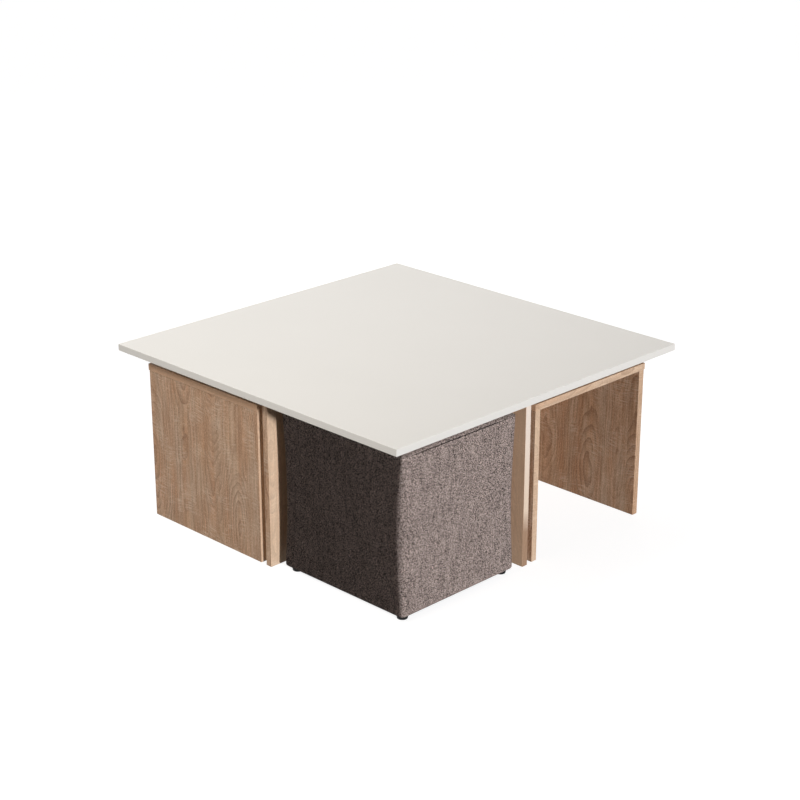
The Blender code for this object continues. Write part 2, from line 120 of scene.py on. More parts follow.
def sun(name, from_front, strength, colour):
    """A low key lamp, turned from straight in front towards the left."""
    data = bpy.data.lights.new(name, "SUN")
    data.color = colour
    data.energy = strength
    data.angle = sun_angle
    away = math.cos(sun_elevation) * sun_distance
    height = math.sin(sun_elevation) * sun_distance + lamp_target[2]
    return aimed(name, data, (-math.sin(from_front) * away, -math.cos(from_front) * away, height))


def softbox(name, place, size, power, colour):
    """A round area lamp."""
    data = bpy.data.lights.new(name, "AREA")
    data.color = colour
    data.shape = "DISK"
    data.size = size
    data.energy = power
    return aimed(name, data, place)


def shine_on(lamp, collection, state):
    """Keeps a lamp's light on the collection's pieces (INCLUDE) or off them (EXCLUDE)."""
    receivers = bpy.data.collections.new(lamp.name + " receivers")
    lamp.light_linking.receiver_collection = receivers
    receivers.children.link(collection)
    receivers.collection_children[0].light_linking.link_state = state


def build_lamps(cloth):
    """The suns and softboxes, each kept to the pieces that it is for."""
    lamps = [sun(name, **settings) for name, settings in suns.items()]
    lamps += [softbox(name, **settings) for name, settings in softboxes.items()]
    for lamp in lamps:
        lamp.visible_glossy = lamp.name not in never_mirrored
        if lamp.name in for_cloth_only:
            shine_on(lamp, cloth, "INCLUDE")
        if lamp.name in for_all_but_cloth:
            shine_on(lamp, cloth, "EXCLUDE")


def build_world():
    """White where it is seen or mirrored, and a dim warm sky for the light that it gives."""
    world = bpy.data.worlds.new("studio")
    bpy.context.scene.world = world
    world.use_nodes = True
    background = world.node_tree.nodes["Background"]
    mix = Steps(world.node_tree)
    seen = mix.rays("Camera", "Glossy", "Transmission")
    mix.feed(background.inputs["Strength"], mix.stretch(seen, 0, 1, sky_strength, 1))
    mix.feed(background.inputs["Color"], mix.blend(seen, sky_colour, white + (1,)))


floor_reach = 30
floor_drop = 0.0002
floor_tone = 0.35
floor_bounce = 0.05
floor_glow = 0.84
floor_roughness = 0.9


def build_floor():
    """A floor seen as near white, with the furniture's shadow, that reflects little light."""
    bm = bmesh.new()
    bmesh.ops.create_grid(bm, x_segments=1, y_segments=1, size=floor_reach)
    mesh = bpy.data.meshes.new("floor")
    bm.to_mesh(mesh)
    bm.free()
    floor = put("floor", mesh)
    floor.location.z = -floor_drop
    mix = Recipe("floor")
    seen = mix.rays("Camera", "Glossy")
    mix.feed(mix.shader.inputs["Emission Color"], white + (1,))
    mix.feed(mix.shader.inputs["Emission Strength"], mix.times(seen, floor_glow))
    tone = mix.stretch(seen, 0, 1, floor_bounce, floor_tone)
    mesh.materials.append(mix.finish(tone, floor_roughness))


# Node trees

facing_limit = 0.7


class Steps:
    """A shader node tree, built one step at a time."""

    def __init__(self, tree):
        self.tree = tree

    def add(self, kind, settings=None, **inputs):
        """A node with its settings and inputs, which are values or other nodes' outputs."""
        node = self.tree.nodes.new("ShaderNode" + kind)
        for name, value in (settings or {}).items():
            setattr(node, name, value)
        for name, value in inputs.items():
            self.feed(node.inputs[name.replace("_", " ")], value)
        return node

    def feed(self, socket, value):
        if isinstance(value, bpy.types.NodeSocket):
            self.tree.links.new(value, socket)
        else:
            socket.default_value = value

    def maths(self, operation, *values, clamp=False):
        node = self.add("Math", {"operation": operation, "use_clamp": clamp})
        for socket, value in zip(node.inputs, values):
            self.feed(socket, value)
        return node.outputs[0]

    def times(self, first, second):
        return self.maths("MULTIPLY", first, second)

    def plus(self, first, second):
        return self.maths("ADD", first, second)

    def stretch(self, value, low, high, to_low=0, to_high=1):
        """The value moved from one range to another and held inside it."""
        node = self.add("MapRange", Value=value)
        titles = ("From Min", "From Max", "To Min", "To Max")
        for title, number in zip(titles, (low, high, to_low, to_high)):
            self.feed(node.inputs[title], number)
        return node.outputs["Result"]

    def blend(self, share, first, second, how="MIX"):
        """Two colours mixed by a share of the second."""
        node = self.add("Mix", {"data_type": "RGBA", "blend_type": how})
        self.feed(node.inputs["Factor"], share)
        self.feed(node.inputs[6], first)
        self.feed(node.inputs[7], second)
        return node.outputs[2]

    def between(self, share, first, second):
        """Two numbers mixed by a share of the second."""
        return self.add("Mix", {"data_type": "FLOAT"}, Factor=share, A=first, B=second).outputs[0]

    def rays(self, *kinds):
        """1 for rays of these kinds, and 0 for all others."""
        path = self.add("LightPath").outputs
        total = path[f"Is {kinds[0]} Ray"]
        for kind in kinds[1:]:
            total = self.maths("ADD", total, path[f"Is {kind} Ray"], clamp=True)
        return total


class Recipe(Steps):
    """A material's node tree with its shader."""

    def __init__(self, name):
        self.material = bpy.data.materials.new(name)
        self.material.use_nodes = True
        super().__init__(self.material.node_tree)
        self.shader = self.tree.nodes["Principled BSDF"]

    def on_piece(self, output="Object"):
        """The point on the piece, in metres, or another output of its coordinates."""
        return self.add("TexCoord").outputs[output]

    def split(self, vector):
        return self.add("SeparateXYZ", Vector=vector).outputs

    def vector(self, x, y, z=0):
        return self.add("CombineXYZ", X=x, Y=y, Z=z).outputs[0]

    def by_face(self, for_x, for_y, for_z):
        """One of three values, by the axis that the face looks along."""
        looks_x, looks_y = (
            self.maths("GREATER_THAN", self.maths("ABSOLUTE", part), facing_limit)
            for part in self.split(self.on_piece("Normal"))[:2]
        )
        return self.between(looks_x, self.between(looks_y, for_z, for_y), for_x)

    def noise(self, vector, scale, detail=2, roughness=0.5):
        node = self.add("TexNoise", Vector=vector, Scale=scale, Detail=detail, Roughness=roughness)
        return node.outputs["Fac"]

    def grain(self, across, along, pattern, seed=0):
        """Noise that is stretched one way.

        A pattern holds its scale across and along, what it adds to the seed, the scale of
        all three, the detail and the roughness.
        """
        scale_across, scale_along, shift, scale, detail, roughness = pattern
        place = self.vector(
            self.times(across, scale_across), self.times(along, scale_along), seed + shift
        )
        return self.noise(place, scale, detail, roughness)

    def yarn_tone(self, index, along, run):
        """A yarn's tone, which jumps every few crossings, at other places on each yarn."""
        start = self.add("TexWhiteNoise", {"noise_dimensions": "1D"}, W=index).outputs["Value"]
        piece = self.maths("FLOOR", self.plus(self.maths("DIVIDE", along, run), start))
        return self.chance(index, piece).outputs["Value"]

    def chance(self, x, y):
        """A random number and colour for each pair of whole numbers."""
        return self.add("TexWhiteNoise", {"noise_dimensions": "2D"}, Vector=self.vector(x, y))

    def bump(self, height, distance, strength=1.0):
        node = self.add("Bump", Height=height, Distance=distance, Strength=strength)
        self.feed(self.shader.inputs["Normal"], node.outputs[0])

    def finish(self, colour, roughness, **uniform):
        """Sets the shader's colour, roughness and any value that is the same all over."""
        self.feed(self.shader.inputs["Base Color"], colour)
        self.feed(self.shader.inputs["Roughness"], roughness)
        for name, value in uniform.items():
            self.shader.inputs[name.replace("_", " ")].default_value = value
        return self.material


def shade(red, green, blue):
    """A colour given as display values from 0 to 255."""
    return tuple(((part / 255 + 0.055) / 1.055) ** 2.4 for part in (red, green, blue)) + (1,)


# Oak print

stave_width = 0.086
print_shift_across = 1.37
print_shift_along = 0.73
print_start = 20
heart_low, heart_span = 0.05, 0.9
heart_pattern = (3.7, 2.3, 0, 1, 1, 0.5)
heart_depth = (0.3, 0.7, 0.002, 0.075)
ring_spacing, ring_spacing_spread = 0.0042, 0.003
ring_swirl = 0.013
ring_sharpness = 2.2
ring_end = (0.93, 1, 1, 0)
figure_strength = (0.38, 0.6, 0.35, 1)
saw_bow, saw_bow_scale = 0.006, 31
saw_pattern = (34, 380, 0, 1, 3, 0.6)
saw_depth = (0.46, 0.7)
saw_patches = (0.46, 0.62, 0.04, 1)
pore_depth = (0.56, 0.7)

# Patterns hold what Recipe.grain asks for, and layers a pattern, its stretch and a colour
oak_patterns = {
    "swirl": (22, 11, 0, 1, 2, 0.5),
    "figure": (17, 6, 5, 1, 2, 0.5),
    "streak": (170, 5, 0, 1, 4, 0.65),
    "pore": (1300, 55, 0, 1, 2, 0.5),
    "patch": (1.5, 1, 9, 13, 2, 0.5),
    "band": (95, 16, 7, 1, 2, 0.6),
    "cloud": (2.5, 1, 3, 7, 3, 0.5),
    "speck": (520, 210, 0, 1, 2, 0.6),
    "ember": (38, 3, 11, 1, 2, 0.6),
}
oak_tones = (shade(230, 194, 161), shade(206, 165, 128))
oak_layers = (
    ("cloud", (0.35, 0.65, 0, 0.45), shade(222, 198, 175)),
    ("streak", (0.42, 0.66, 0, 0.75), shade(160, 121, 91)),
    ("ember", (0.44, 0.64, 0, 0.42), shade(208, 148, 104)),
    ("ember", (0.3, 0.46, 0.32, 0), shade(230, 206, 180)),
    ("late wood", (0, 1, 0, 0.88), shade(124, 84, 56)),
    ("pore", (0, 1, 0, 0.4), shade(118, 86, 62)),
    ("band", (0.42, 0.66, 0, 0.35), shade(150, 112, 84)),
    ("speck", (0.36, 0.64, 0.28, 0), shade(118, 82, 56)),
    ("speck", (0.5, 0.72, 0, 0.3), shade(252, 226, 198)),
    ("saw", (0, 1, 0, 0.62), shade(240, 218, 195)),
)
# Painted light: a paler tint laid on faces by the way they look, along x or y, as if better lit
painted_light_tint = shade(244, 216, 186)
# Painted shade: a darker, redder multiply tint for faces that look along x, the shaded side
painted_shade_tint = (0.97, 0.84, 0.75, 1)
end_waver = 0.06
end_share = 0.82
end_low, end_low_tone = (0.11, 0.17), shade(160, 130, 106)
end_high, end_high_tones = (0.2, 0.36), (shade(242, 221, 198), shade(250, 237, 224))
saw_height, pore_height = 0.3, 0.8
oak_relief, oak_relief_strength = 0.00008, 0.6
oak_roughness = (0.3, 0.7, 0.45, 0.6)


def oak_decor(
    name, seed, upright=True, painted_light_front=0, painted_light_side=0, painted_shade_side=0, pale_end=False
):
    """Sawn oak print: staves with growth rings, streaks, pores, and pale saw marks.

    The shares of painted light (a paler tint) and painted shade (a darker, redder tint) are
    for the faces that look along y (front) and along x (side). A pale end has bleached sapwood
    on the faces that look along y, down to a darker foot.
    """
    mix = Recipe(name)
    x, y, z = mix.split(mix.on_piece())
    if upright:
        across, along = mix.by_face(y, x, x), mix.by_face(z, z, y)
    else:
        across, along = mix.by_face(z, z, y), mix.by_face(y, x, x)
    across = mix.plus(across, seed * print_shift_across + print_start)
    along = mix.plus(along, seed * print_shift_along + print_start)
    found = {
        title: mix.grain(across, along, pattern, seed) for title, pattern in oak_patterns.items()
    }

    # Staves, each of its own tone and cut from its own place in the trunk
    stave = mix.maths("DIVIDE", across, stave_width)
    index = mix.maths("FLOOR", stave)
    chance = mix.chance(index, seed).outputs["Color"]
    for_heart, for_rings, for_tone = mix.add("SeparateColor", Color=chance).outputs
    middle = mix.maths("MULTIPLY_ADD", for_heart, heart_span, heart_low)
    aside = mix.times(mix.maths("SUBTRACT", mix.maths("FRACT", stave), middle), stave_width)

    # Growth rings: their distance from the wandering heart of the trunk
    heart = mix.stretch(mix.grain(index, along, heart_pattern, seed), *heart_depth)
    squares = mix.plus(mix.maths("POWER", aside, 2), mix.maths("POWER", heart, 2))
    rings = mix.plus(mix.maths("SQRT", squares), mix.times(found["swirl"], ring_swirl))
    spacing = mix.maths("MULTIPLY_ADD", for_rings, ring_spacing_spread, ring_spacing)
    ring = mix.maths("FRACT", mix.maths("DIVIDE", rings, spacing))
    late = mix.times(mix.maths("POWER", ring, ring_sharpness), mix.stretch(ring, *ring_end))
    found["late wood"] = mix.times(late, mix.stretch(found["figure"], *figure_strength))

    # Saw marks across the grain, in patches, and pores along it
    bow = mix.times(mix.maths("SINE", mix.times(across, saw_bow_scale)), saw_bow)
    saw = mix.stretch(mix.grain(across, mix.plus(along, bow), saw_pattern, seed), *saw_depth)
    found["saw"] = mix.times(saw, mix.stretch(found["patch"], *saw_patches))
    found["pore"] = mix.stretch(found["pore"], *pore_depth)

    colour = mix.blend(for_tone, *oak_tones)
    for title, share, tone in oak_layers:
        colour = mix.blend(mix.stretch(found[title], *share), colour, tone)
    # Painted light: faces that look along y or x made paler by their shares
    if painted_light_front or painted_light_side:
        colour = mix.blend(mix.by_face(painted_light_side, painted_light_front, 0), colour, painted_light_tint)
    # Painted shade: faces that look along x darkened and reddened
    if painted_shade_side:
        colour = mix.blend(mix.by_face(painted_shade_side, 0, 0), colour, painted_shade_tint, "MULTIPLY")
    if pale_end:
        edge = mix.plus(z, mix.times(found["cloud"], end_waver))
        upper = mix.blend(mix.stretch(edge, *end_high), *end_high_tones)
        end = mix.blend(mix.stretch(edge, *end_low), end_low_tone, upper)
        colour = mix.blend(mix.by_face(0, end_share, 0), colour, end)
    raised, sunk = mix.times(found["saw"], saw_height), mix.times(found["pore"], pore_height)
    mix.bump(mix.maths("SUBTRACT", raised, sunk), oak_relief, oak_relief_strength)
    roughness = mix.stretch(found["streak"], *oak_roughness)
    return mix.finish(colour, roughness, Specular_IOR_Level=0.35)


# Fabric

yarn_pitch = 0.0015
warp_run = 1.1
weft_run = 1.0
yarn_share = 0.75
fleck_pattern, fleck_tone = (480, 780, 0, 1, 1, 0.7), (0.34, 0.66, -0.18, 0.43)
drift_pattern, drift_tone = (80, 15, 0, 1, 2, 0.6), (0.3, 0.7, -0.08, 0.08)
fibre_scale = 3000
tweed_contrast = (0.31, 0.71)
tweed_tones = (shade(30, 23, 22), shade(255, 233, 225))
fibre_share, fibre_shade = (0.35, 0.65, 0, 0.3), shade(60, 51, 48)
# Painted shade: the gaps between yarns are darkened, from the yarns' arch
yarn_gap_painted_shade_share, yarn_gap_painted_shade = (0, 0.45, 0.5, 0), shade(32, 27, 25)
# Painted shade: near black laid on the cloth in the seam's slot, by the mesh's 'seam' attribute
seam_painted_shade = shade(14, 11, 11)
weave_relief = 0.0013
crown_relief, yarn_relief, fleck_relief = 0.7, 0.9, 1.4


def woven_fabric():
    """Tweed of mixed yarns in plain weave. The UV map runs in metres round the piece and up."""
    mix = Recipe("woven fabric")
    place = mix.on_piece("UV")
    across, along, _ = mix.split(place)
    warp = mix.maths("DIVIDE", across, yarn_pitch)
    weft = mix.maths("DIVIDE", along, yarn_pitch)
    warp_index, weft_index = mix.maths("FLOOR", warp), mix.maths("FLOOR", weft)
    weft_on_top = mix.maths("PINGPONG", mix.plus(warp_index, weft_index), 1)
    warp_yarn = mix.yarn_tone(warp_index, weft, warp_run)
    weft_yarn = mix.yarn_tone(weft_index, warp, weft_run)
    yarn = mix.between(weft_on_top, warp_yarn, weft_yarn)
    fleck = mix.grain(across, along, fleck_pattern)
    drift = mix.grain(across, along, drift_pattern)
    tone = mix.plus(mix.times(yarn, yarn_share), mix.stretch(fleck, *fleck_tone))
    tone = mix.plus(tone, mix.stretch(drift, *drift_tone))
    colour = mix.blend(mix.stretch(tone, *tweed_contrast), *tweed_tones)
    fibre = mix.stretch(mix.noise(place, fibre_scale), *fibre_share)
    colour = mix.blend(fibre, colour, fibre_shade)
    arch_across, arch_along = (
        mix.maths("SINE", mix.times(mix.maths("FRACT", way), math.pi)) for way in (warp, weft)
    )
    crown = mix.times(arch_across, arch_along)
    # Painted shade in the gaps between the yarns
    colour = mix.blend(mix.stretch(crown, *yarn_gap_painted_shade_share), colour, yarn_gap_painted_shade)
    # Painted shade in the seam's slot, read from the mesh's 'seam' attribute
    seam_painted_shade_share = mix.add("Attribute", {"attribute_name": "seam"}).outputs["Fac"]
    colour = mix.blend(seam_painted_shade_share, colour, seam_painted_shade)
    relief = mix.plus(mix.times(crown, crown_relief), mix.times(yarn, yarn_relief))
    mix.bump(mix.plus(relief, mix.times(fleck, fleck_relief)), weave_relief)
    return mix.finish(colour, 0.95, Sheen_Weight=0.02, Sheen_Roughness=0.4, Specular_IOR_Level=0.1)


# Other materials

melamine_tones = (shade(232, 229, 222), shade(236, 233, 227))
melamine_grain, melamine_cloud = 900, 5
melamine_relief = (0.00002, 0.4)
melamine_roughness = (0.3, 0.7, 0.36, 0.42)
plastic_tone = shade(14, 14, 15)
plastic_grain = 1500
plastic_relief = (0.00004, 0.5)
plastic_roughness = (0, 1, 0.5, 0.65)
plain_relief = (0.0001, 0.4)
plain_darker = 0.8


def white_melamine():
    """A warm white coated board with a fine grain and a faint unevenness."""
    mix = Recipe("white melamine")
    place = mix.on_piece()
    grain = mix.noise(place, melamine_grain, detail=3)
    cloud = mix.noise(place, melamine_cloud, detail=3)
    mix.bump(grain, *melamine_relief)
    return mix.finish(mix.blend(cloud, *melamine_tones), mix.stretch(cloud, *melamine_roughness))


def black_plastic():
    """Moulded plastic with a fine grain."""
    mix = Recipe("black plastic")
    grain = mix.noise(mix.on_piece(), plastic_grain)
    mix.bump(grain, *plastic_relief)
    roughness = mix.stretch(grain, *plastic_roughness)
    return mix.finish(plastic_tone, roughness, Specular_IOR_Level=0.25)


def plain(name, colour, roughness, scale, metallic=0.0):
    """A colour with a fine grain that is up to a fifth darker."""
    mix = Recipe(name)
    grain = mix.noise(mix.on_piece(), scale, detail=4)
    darker = tuple(part * plain_darker for part in colour[:3]) + (1,)
    mix.bump(grain, *plain_relief)
    return mix.finish(mix.blend(grain, darker, colour), roughness, Metallic=metallic)


# Boards and fittings of the frame

# Each board's shares of painted light and painted shade on its faces, by the way they look, and its
# pale end
board_tints = {
    "cross_panel_x": {"painted_light_front": 0.5},
    "cross_panel_y": {"painted_light_side": 0.6, "painted_shade_side": 0.6, "pale_end": True},
    "side_table_right_leg_outer": {"painted_light_front": 0.14, "painted_shade_side": 0.35},
    "side_table_right_leg_inner": {"painted_light_front": 0.42},
    "side_table_left_leg_outer": {"painted_light_front": 0.4},
    "side_table_left_leg_inner": {},
}
# Painted light and painted shade on the lying boards' edges
lying_board_tints = {"painted_light_front": 0.28, "painted_light_side": 0.5, "painted_shade_side": 0.8}
lying_boards = ("side_table_right_top", "side_table_left_top")
upright_seed, lying_seed = 1, 11


def dress(node, material):
    """Gives one of the frame's own pieces its material."""
    piece = nodes[node]
    piece.data.materials.clear()
    piece.data.materials.append(material)


def dress_boards():
    """White melamine for the top, and an oak print of its own for each other board."""
    dress("table_top", white_melamine())
    for seed, (node, tints) in enumerate(board_tints.items(), upright_seed):
        dress(node, oak_decor(node + " oak", seed, **tints))
    for seed, node in enumerate(lying_boards, lying_seed):
        dress(node, oak_decor(node + " oak", seed, upright=False, **lying_board_tints))


def dress_fittings():
    """Metal for the bolts, cams and screws, and chipboard for the boards inside the ottomans."""
    zinc = plain("zinc", shade(170, 172, 175), 0.35, 400, metallic=1.0)
    chips = plain("chipboard", shade(178, 150, 112), 0.85, 260)
    for name in nodes:
        if "_bolt_" in name or "_cam_" in name or "_screw_" in name:
            dress(name, zinc)
        elif name.endswith("_board"):
            dress(name, chips)


# Ottomans. The back one is the front one turned half round.

front_low, front_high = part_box("ottoman_front_side_cover")
seat_low, seat_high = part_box("ottoman_front_seat_cover")
foam_low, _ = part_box("ottoman_front_seat_foam")
foam_inset = foam_low.x - seat_low.x
seam_gap = seat_low.z - front_high.z
seam_height = (front_high.z + seat_low.z) / 2
half_turn = Matrix.Rotation(math.pi, 4, "Z")

# Radii of the four upright corners, which start at +x and -y
corner_low = (0.013, 0.010, 0.010, 0.010)
corner_high = (0.013, 0.010, 0.011, 0.006)
corner_soft = 0.025
corner_swell = 1.15
corner_inside = (0.002,) * 4
corner_thread = (0.006,) * 4

hem_radius = 0.004
hem_steps = 5
fold_width = 0.040
fold_thickness = 0.003
fold_ease, fold_rise = 0.0015, 0.0004
fold_from_edge, fold_from_hem = 0.006, 0.004
fold_rows = 7
wall_rows = 90
cover_wall = 0.0072
cover_wall_corner = (0.0015,) * 4
cover_step = 0.0030

# How far the weave's map climbs over each row of the lip, in lips, and on to the inner rows
lip_climb = 0.3
inside_climb, under_climb = 0.3, 0.35

# Slack of the cloth: waves round it and up it, in radians per metre
slack_height = 0.0030
slack_fade = 0.045
slack_at_corner = 0.1
slack_power = 0.7
slack_seed = 3
slack_waves = 14
slack_round, slack_up = (8, 52), (6, 40)

# The seam gapes along the sides and is shut near the corners
seam_depth, seam_depth_shut = 0.0045, 0.0008
seam_open, seam_shut = 0.0008, 0.00005
seam_open_from, seam_open_to = 0.012, 0.065
seam_lip = 0.0007
seam_floor = 0.45
lip_steps = 5

seat_cell = 0.0055
seat_edge = 0.009
seat_edge_steps = 4
seat_crown = 0.0055
seat_crown_power = 2.5
seat_shoulder = 0.002
seat_pressure = 4
swell_cap = 0.0035
swell_frames = 20
cloth_settings = {
    "quality": 6,
    "mass": 0.3,
    "tension_stiffness": 20,
    "compression_stiffness": 20,
    "shear_stiffness": 5,
    "bending_stiffness": 0.6,
    "use_pressure": True,
    "uniform_pressure_force": seat_pressure,
    "vertex_group_mass": "seam",
}

stitch_seed, staple_seed = 11, 12
stitch_pitch = 0.0036
stitch_length = 0.0030
stitch_depth = 0.85
thread_width = 0.0008
staple_pitch = 0.024
staple_width = 0.010
staple_wire = 0.0011
staple_place = 0.72


def finished(name, bm):
    """A piece from its mesh, with its faces looking outwards."""
    mesh = bpy.data.meshes.new(name)
    bmesh.ops.recalc_face_normals(bm, faces=bm.faces[:])
    bm.to_mesh(mesh)
    bm.free()
    return put(name, mesh)


def rounded_sides(half_x, half_y, radii, count_x, count_y):
    """A rounded rectangle as four sides that meet mid-corner.

    Gives its points, their outward directions, their way round it and the whole way round.
    The four radii start at the corner of +x and -y.
    """
    points, outwards, arcs = [], [], []
    run = 0
    for side in range(4):
        half_along, half_off = (half_y, half_x) if side % 2 == 0 else (half_x, half_y)
        count = count_y if side % 2 == 0 else count_x
        first, last = radii[side], radii[(side + 1) % 4]
        straight = 2 * half_along - first - last
        bend_in, bend_out = first * math.pi / 4, last * math.pi / 4
        share = np.arange(count) / count
        way = share * (bend_in + straight + bend_out)
        before, after = way < bend_in, way > bend_in + straight
        radius = np.where(before, first, last)
        turn = np.where(before, way / first - math.pi / 4, 0)
        turn = np.where(after, (way - bend_in - straight) / last, turn)
        along = np.clip(way - bend_in, 0, straight) - half_along + first + radius * np.sin(turn)
        off = half_off - radius + radius * np.cos(turn)
        facing = side * math.pi / 2
        cos, sin = math.cos(facing), math.sin(facing)
        points.append(np.stack([off * cos - along * sin, off * sin + along * cos], 1))
        normal = facing + turn
        outwards.append(np.stack([np.cos(normal), np.sin(normal)], 1))
        arcs.append(run + share * 2 * half_along)
        run += 2 * half_along
    return np.concatenate(points), np.concatenate(outwards), np.concatenate(arcs), run


def from_corner(half_x, half_y, points):
    """How far each point of a rounded rectangle is from its nearest corner, along its side."""
    return np.maximum(half_x - np.abs(points[:, 0]), half_y - np.abs(points[:, 1]))


def seam_opening(half_x, half_y, points):
    """The seam's depth, half its opening and how far it gapes, from 0 to 1, at each point."""
    share = from_corner(half_x, half_y, points) - seam_open_from
    share = np.clip(share / (seam_open_to - seam_open_from), 0, 1)
    share = share * share * (3 - 2 * share)
    depth = seam_depth_shut + (seam_depth - seam_depth_shut) * share
    return depth, seam_shut + (seam_open - seam_shut) * share, share


def seam_lip_rows():
    """Rows of the seam's rounded lip and slot.

    Each is a share of the slot's depth, the lip's share inwards and down, and the share of painted
    shade.
    """
    rows = []
    for step in range(lip_steps + 1):
        angle = math.pi / 2 * step / lip_steps
        # Painted shade grows over the lip's last steps and fills the slot
        painted_shade = max(0, step - lip_steps + 2) / 3
        rows.append((0, 1 - math.cos(angle), 1 - math.sin(angle), painted_shade))
    return rows + [(seam_floor, 1, 0, 1), (1, 1, 0, 1)]


def slack(way, height):
    """A gentle unevenness of taut cloth, from a few waves of fixed random phase."""
    random = np.random.default_rng(slack_seed)
    total = np.zeros(np.broadcast(way, height).shape)
    for _ in range(slack_waves):
        wave_round = random.uniform(*slack_round)
        wave_up = random.uniform(*slack_up)
        phase = random.uniform(0, 2 * math.pi)
        total = total + np.sin(way * wave_round + height * wave_up + phase)
    return total / slack_waves * slack_height


def cover_profile():
    """Rows of the side cover from its fold up its wall: inset, corner radii and height."""
    bottom, top = front_low.z, front_high.z
    rows = [
        (fold_width, corner_inside, bottom + fold_rise),
        (fold_width - fold_ease, corner_inside, bottom),
    ]
    outermost = hem_radius + fold_from_hem
    for inset in np.linspace(fold_width - fold_from_edge, outermost, fold_rows):
        rows.append((inset, corner_inside, bottom))
    for step in range(hem_steps + 1):
        angle = math.pi / 2 * step / hem_steps
        height = bottom + hem_radius * (1 - math.cos(angle))
        rows.append((hem_radius * (1 - math.sin(angle)), corner_low, height))
    wall_low, wall_high = bottom + hem_radius, top - 2 * seam_lip - seam_open
    for share in np.linspace(0, 1, wall_rows)[1:]:
        soft = max(math.sin(math.pi * share), 0) ** corner_swell
        radii = [
            (low + (high - low) * share) * (1 - soft) + corner_soft * soft
            for low, high in zip(corner_low, corner_high)
        ]
        rows.append((0, radii, wall_low + (wall_high - wall_low) * share))
    return rows


def build_side_cover():
    """The fabric round the sides: hem and fold below, soft corners, and the seam's lip above."""
    centre = (front_low + front_high) / 2
    half_x, half_y = (front_high.x - front_low.x) / 2, (front_high.y - front_low.y) / 2
    count_x, count_y = round(2 * half_x / cover_step), round(2 * half_y / cover_step)
    bottom, top = front_low.z, front_high.z
    rows = []

    def add_row(inset, radii, height, painted_shade=0, climb=0, depth=0):
        """A ring of points with their place on the cloth and their painted shade in the seam."""
        flat, outward, way, run = rounded_sides(
            half_x - inset, half_y - inset, radii, count_x, count_y
        )
        flat = flat - outward * np.reshape(depth * np.ones(len(flat)), (-1, 1))
        heights = height + np.zeros(len(flat))
        points = np.column_stack([flat + (centre.x, centre.y), heights])
        rows.append((points, way, run, climb, painted_shade * np.ones(len(flat))))

    climb = 0
    before = (fold_width, bottom)
    for inset, radii, height in cover_profile():
        flat, _, way, _ = rounded_sides(half_x - inset, half_y - inset, radii, count_x, count_y)
        climb += math.hypot(inset - before[0], height - before[1])
        before = (inset, height)
        uneven = 0
        if inset == 0:
            share = (height - bottom) / (top - bottom)
            middle = max(math.sin(math.pi * share), 0) ** slack_power
            calm = np.clip(from_corner(half_x, half_y, flat) / slack_fade, slack_at_corner, 1)
            uneven = slack(way, height) * middle * calm
        add_row(inset, radii, height, climb=climb, depth=uneven)
    flat, _, _, _ = rounded_sides(half_x, half_y, corner_high, count_x, count_y)
    depth, opening, gape = seam_opening(half_x, half_y, flat)
    # The seam's lip and slot, with painted shade where the seam gapes
    for deep, inwards, down, painted_shade in seam_lip_rows():
        climb += seam_lip * lip_climb
        height = top - opening - seam_lip * down
        add_row(0, corner_high, height, painted_shade * gape, climb, deep * depth + seam_lip * inwards)
    inside = bottom + fold_thickness
    # The inside of the slot, in painted shade where the seam gapes
    add_row(cover_wall, cover_wall_corner, top, gape, climb)
    add_row(cover_wall, cover_wall_corner, inside, 0, climb + inside_climb)
    add_row(fold_width, corner_inside, inside, 0, climb + under_climb)

    bm = bmesh.new()
    uv = bm.loops.layers.uv.new("weave")
    # The 'seam' attribute holds each point's share of painted shade in the seam's slot
    seam = bm.verts.layers.float.new("seam")
    rings = []
    for points, _, _, _, painted_shades in rows:
        ring = [bm.verts.new(point) for point in points]
        for vert, painted_shade in zip(ring, painted_shades):
            vert[seam] = painted_shade
        rings.append(ring)
    count = len(rings[0])
    order = list(range(len(rings))) + [0]
    for low, high in zip(order, order[1:]):
        _, way, run, _, _ = rows[low]
        for column in range(count):
            following = (column + 1) % count
            pair = (rings[low][column], rings[low][following])
            face = bm.faces.new(pair + (rings[high][following], rings[high][column]))
            face.smooth = True
            left = way[column]
            right = way[following] if following else run
            corners = ((left, low), (right, low), (right, high), (left, high))
            for loop, (across, row) in zip(face.loops, corners):
                loop[uv].uv = (across, rows[row][3])
    return finished("ottoman_front_side_cover_cloth", bm)


def border_cells(count_x, count_y):
    """The outermost cells of a grid, in order round it."""
    cells = [(count_x, j) for j in range(count_y)]
    cells += [(count_x - i, count_y) for i in range(count_x)]
    cells += [(0, count_y - j) for j in range(count_y)]
    return cells + [(i, 0) for i in range(count_x)]


def corner_radius(side_x, side_y):
    """The seat's corner radius in one quarter of it."""
    if side_x > 0:
        return corner_high[0] if side_y < 0 else corner_high[1]
    return corner_high[3] if side_y < 0 else corner_high[2]


